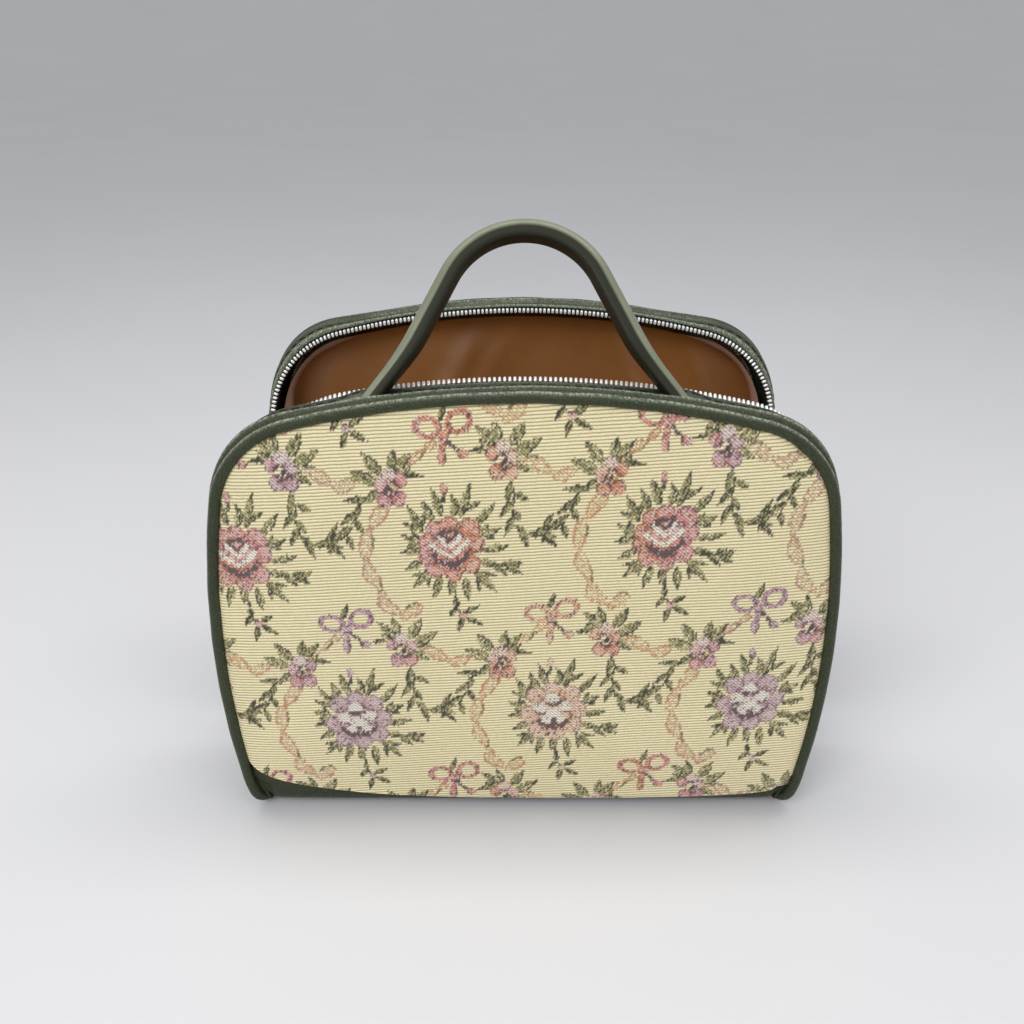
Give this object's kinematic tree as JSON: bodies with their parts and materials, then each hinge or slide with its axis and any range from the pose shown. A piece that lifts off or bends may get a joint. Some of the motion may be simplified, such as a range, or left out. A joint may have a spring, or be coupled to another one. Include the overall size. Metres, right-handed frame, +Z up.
{
  "type": "cosmetic train case",
  "caption": "Soft zip-round cosmetic train case with tapestry panels, vinyl strips and piping, an arched top handle and two halves that fold open from a flat base.",
  "frame": {"origin": "centre of the flat underside of the base, on the floor", "axes": "+X across the case to the viewer's right, +Y from front panel to back panel, +Z up"},
  "size_m": [0.267, 0.1452, 0.2618],
  "materials": {
    "tapestry": "ribbed floral jacquard",
    "green_vinyl": "grained vinyl, satin",
    "green_piping": "grained vinyl over cord",
    "handle_vinyl": "smooth moulded vinyl",
    "tan_lining": "thin smooth vinyl",
    "stiff_card": "raw card",
    "zip_tape": "woven tape",
    "zip_metal": "bright aluminium"
  },
  "bodies": {
    "base": {"base_cover": "green_vinyl", "base_board": "stiff_card", "base_lining": "tan_lining", "left_end_wall": "green_vinyl", "right_end_wall": "green_vinyl", "zip_slider": "zip_metal", "zip_stops": "zip_metal"},
    "front_half": {"front_tapestry": "tapestry", "front_corner_facings": "green_vinyl", "front_board": "stiff_card", "front_lining": "tan_lining", "front_gusset": "green_vinyl", "front_piping": "green_piping", "front_zip_tape": "zip_tape", "front_zip_teeth": "zip_metal", "handle": "handle_vinyl"},
    "back_half": {"back_tapestry": "tapestry", "back_corner_facings": "green_vinyl", "back_board": "stiff_card", "back_lining": "tan_lining", "back_gusset": "green_vinyl", "back_piping": "green_piping", "back_zip_tape": "zip_tape", "back_zip_teeth": "zip_metal"},
    "pull": {"zip_pull": "zip_metal"}
  },
  "joints": [
    {"name": "front_fold", "type": "hinge", "parent": "base", "child": "front_half", "pos_m": [0, -0.0555, 0.0045], "axis": [1, 0, 0], "range_deg": [-11.2, 25]},
    {"name": "back_fold", "type": "hinge", "parent": "base", "child": "back_half", "pos_m": [0, 0.0555, 0.0045], "axis": [-1, 0, 0], "range_deg": [-17.7, 20]},
    {"name": "pull_swing", "type": "hinge", "parent": "base", "child": "pull", "pos_m": [0.13197, 0, 0.047], "axis": [0, -1, 0], "range_deg": [0, 150]}
  ]
}
